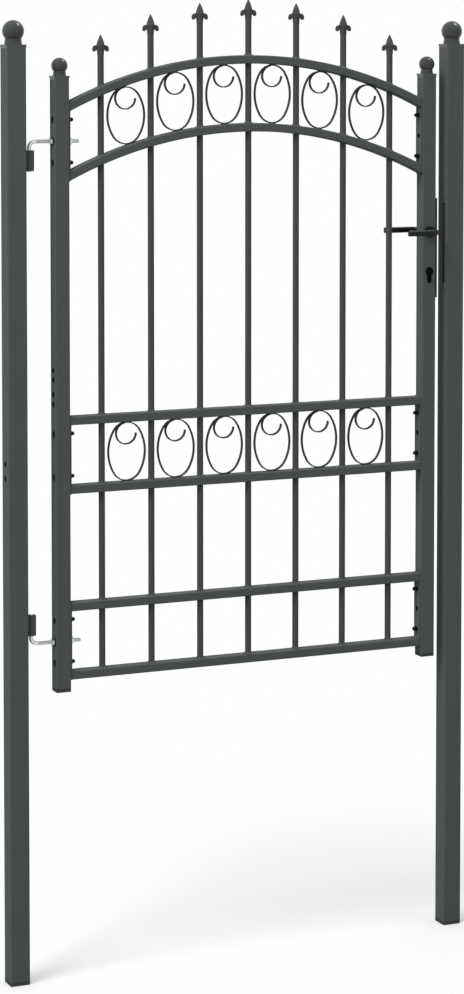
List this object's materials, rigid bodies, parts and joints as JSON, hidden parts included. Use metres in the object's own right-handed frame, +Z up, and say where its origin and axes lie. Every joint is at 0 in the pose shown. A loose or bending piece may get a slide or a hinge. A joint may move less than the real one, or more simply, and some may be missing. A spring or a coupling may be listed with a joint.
{
  "type": "garden gate with posts",
  "caption": "Single-leaf tubular steel garden gate with arched top, spear tips and scrolls, hung on a square hinge post beside its latch post, with lever lock.",
  "frame": {"origin": "middle of the hinge post's foot, on its under face", "axes": "+X from the hinge post to the latch post, +Y away from the front, +Z up"},
  "size_m": [1.0032, 0.12, 1.938],
  "materials": {
    "powder_coat": "satin anthracite powder coat",
    "foot_plug": "moulded dark grey",
    "zinc": "bright zinc plate",
    "black_hardware": "black coat"
  },
  "bodies": {
    "posts": {"hinge_post": "powder_coat", "latch_post": "powder_coat", "latch_post_slot_length": "powder_coat", "latch_post_top_length": "powder_coat", "hinge_post_cap": "powder_coat", "latch_post_cap": "powder_coat", "hinge_post_plug": "foot_plug", "latch_post_plug": "foot_plug", "upper_hinge_sleeve": "powder_coat", "lower_hinge_sleeve": "powder_coat", "strike_plate": "powder_coat"},
    "leaf": {"hinge_stile": "powder_coat", "lock_stile": "powder_coat", "hinge_stile_cap": "powder_coat", "lock_stile_cap": "powder_coat", "hinge_stile_plug": "foot_plug", "lock_stile_plug": "foot_plug", "top_arch_rail": "powder_coat", "lower_arch_rail": "powder_coat", "upper_middle_rail": "powder_coat", "lower_middle_rail": "powder_coat", "upper_base_rail": "powder_coat", "base_rail": "powder_coat", "bar_1": "powder_coat", "bar_2": "powder_coat", "bar_3": "powder_coat", "bar_4": "powder_coat", "bar_5": "powder_coat", "bar_6": "powder_coat", "bar_7": "powder_coat", "hinge_side_plates": "powder_coat", "lock_side_plates": "powder_coat", "spear_heads": "powder_coat", "arch_scrolls": "powder_coat", "middle_scrolls": "powder_coat", "upper_hinge_bolt": "zinc", "lower_hinge_bolt": "zinc", "hinge_nuts": "zinc", "lock_faceplate": "black_hardware", "key_cylinder": "black_hardware", "lever_rosettes": "black_hardware"},
    "lever": {"front_lever": "black_hardware", "rear_lever": "black_hardware", "lever_spindle": "zinc"}
  },
  "joints": [
    {"name": "leaf_swing", "type": "hinge", "parent": "posts", "child": "leaf", "pos_m": [0.0315, 0, 0.6735], "axis": [0, 0, 1], "range_deg": [0, 95]},
    {"name": "lever_turn", "type": "hinge", "parent": "leaf", "child": "lever", "pos_m": [0.902, 0, 1.4615], "axis": [0, -1, 0], "range_deg": [0, 40], "stiffness_Nm_per_rad": 1.2, "springref_deg": -28.65}
  ]
}
